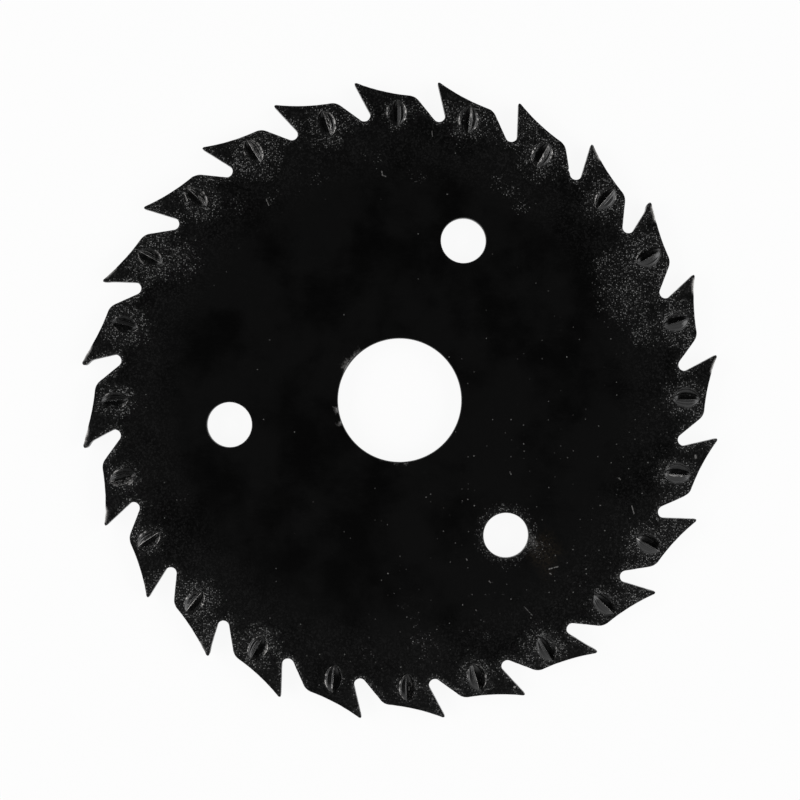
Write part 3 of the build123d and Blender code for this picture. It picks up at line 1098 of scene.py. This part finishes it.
class RASPDISC_OT_stamped_disc(bpy.types.Operator):
    """Make the stamped disc and its blackened finish"""

    bl_idname = "rasp_disc.stamped_disc"
    bl_label = "Stamped Disc"
    bl_options = {"REGISTER", "UNDO"}

    def execute(self, context):
        sizes = context.scene.rasp_disc_sizes
        disc = build_disc(sizes)
        disc.data.materials.append(blackened_steel(context.scene.rasp_disc_finish))
        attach(disc, "root")
        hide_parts(CAD_NODE)
        return {"FINISHED"}


def pale_floor(studio):
    """A wide floor that shows white and keeps a faint shadow."""
    corners = [(x * FLOOR_HALF, y * FLOOR_HALF, 0) for x, y in ((-1, -1), (1, -1), (1, 1), (-1, 1))]
    mesh = bpy.data.meshes.new("floor")
    mesh.from_pydata(corners, [], [(0, 1, 2, 3)])
    material = bpy.data.materials.new("pale_floor")
    bench = Bench(material)
    rays = bench.add("ShaderNodeLightPath")
    kinds = ("Camera", "Glossy", "Transmission")
    seen = bench.greatest(*[bench.number(rays, f"Is {kind} Ray") for kind in kinds])
    lit = bench.add("ShaderNodeBsdfDiffuse", {}, {"Color": colour_of(studio.floor_colour)})
    white = bench.add("ShaderNodeEmission", {}, {"Color": (1.0, 1.0, 1.0, 1.0), "Strength": 1.0})
    mixed = bench.add("ShaderNodeMixShader", {}, {0: seen * 0.92, 1: lit.outputs[0], 2: white.outputs[0]})
    bench.add("ShaderNodeOutputMaterial", {}, {"Surface": mixed.outputs[0]})
    mesh.materials.append(material)
    floor = bpy.data.objects.new("floor", mesh)
    bpy.context.scene.collection.objects.link(floor)


def soft_sky(studio):
    """Light from all round and low down, dark straight above, and white to the camera."""
    world = bpy.data.worlds.new("studio")
    bench = Bench(world)
    direction = bench.add("ShaderNodeTexCoord").outputs["Generated"]
    split = bench.add("ShaderNodeSeparateXYZ", {}, {"Vector": direction})
    height, beyond = bench.number(split, "Z"), bench.number(split, "Y")
    low = bench.ramp(height, 0.8, 0.5, studio.overhead, studio.around)
    light = low + bench.ramp(beyond, -0.25, -0.5, 0.0, studio.before)
    seen = bench.number(bench.add("ShaderNodeLightPath"), "Is Camera Ray")
    strength = seen + (1 - seen) * light
    glow = bench.add("ShaderNodeBackground", {}, {"Color": (1.0, 1.0, 1.0, 1.0), "Strength": strength})
    bench.add("ShaderNodeOutputWorld", {}, {"Surface": glow.outputs[0]})
    bpy.context.scene.world = world


def softbox(name, azimuth, studio):
    """A soft lamp beside the disc, low down and facing it."""
    lamp = bpy.data.lights.new(name, "AREA")
    lamp.shape = "RECTANGLE"
    lamp.size, lamp.size_y = SOFTBOX_SIDES
    lamp.energy = studio.softbox_power
    box = bpy.data.objects.new(name, lamp)
    box.location = (
        SOFTBOX_DISTANCE * math.cos(azimuth) * math.cos(SOFTBOX_ELEVATION),
        SOFTBOX_DISTANCE * math.sin(azimuth) * math.cos(SOFTBOX_ELEVATION),
        SOFTBOX_DISTANCE * math.sin(SOFTBOX_ELEVATION),
    )
    box.rotation_euler = (-box.location).to_track_quat("-Z", "Y").to_euler()
    bpy.context.scene.collection.objects.link(box)


def overhead_camera(studio):
    """The camera, straight above the disc and square to it."""
    lens = bpy.data.cameras.new("camera")
    lens.sensor_width = 36.0
    lens.lens = lens.sensor_width * studio.camera_height / studio.view_width
    lens.clip_start = 0.01
    lens.clip_end = 20.0
    camera = bpy.data.objects.new("camera", lens)
    camera.location = (studio.camera_right, studio.camera_up, front_height + studio.camera_height)
    bpy.context.scene.collection.objects.link(camera)
    bpy.context.scene.camera = camera


class RASPDISC_OT_studio(bpy.types.Operator):
    """Set up the pale floor, the soft light and the camera"""

    bl_idname = "rasp_disc.studio"
    bl_label = "Studio"
    bl_options = {"REGISTER", "UNDO"}

    def execute(self, context):
        studio = context.scene.rasp_disc_studio
        pale_floor(studio)
        soft_sky(studio)
        softbox("softbox_right", 0.0, studio)
        softbox("softbox_left", math.pi, studio)
        overhead_camera(studio)
        context.scene.view_settings.view_transform = "Standard"
        return {"FINISHED"}


class RASPDISC_PT_panel(bpy.types.Panel):
    """Lists the rasp disc's operators and settings"""

    bl_idname = "RASPDISC_PT_panel"
    bl_label = "Rasp Disc"
    bl_space_type = "VIEW_3D"
    bl_region_type = "UI"
    bl_category = "Rasp Disc"

    def draw(self, context):
        for step in OPERATORS:
            self.layout.operator(step.bl_idname)
        for name, kind in SETTINGS.items():
            box = self.layout.box()
            for setting in kind.__annotations__:
                box.prop(getattr(context.scene, name), setting)


OPERATORS = (RASPDISC_OT_stamped_disc, RASPDISC_OT_studio)
SETTINGS = {
    "rasp_disc_sizes": RaspDiscSizes,
    "rasp_disc_finish": RaspDiscFinish,
    "rasp_disc_studio": RaspDiscStudio,
}


def register():
    for kind in (*SETTINGS.values(), *OPERATORS, RASPDISC_PT_panel):
        bpy.utils.register_class(kind)
    for name, kind in SETTINGS.items():
        setattr(bpy.types.Scene, name, PointerProperty(type=kind))


def unregister():
    for name in SETTINGS:
        delattr(bpy.types.Scene, name)
    for kind in (RASPDISC_PT_panel, *OPERATORS, *SETTINGS.values()):
        bpy.utils.unregister_class(kind)


def main():
    register()
    bpy.ops.rasp_disc.stamped_disc()
    bpy.ops.rasp_disc.studio()


if __name__ == "__main__":
    main()
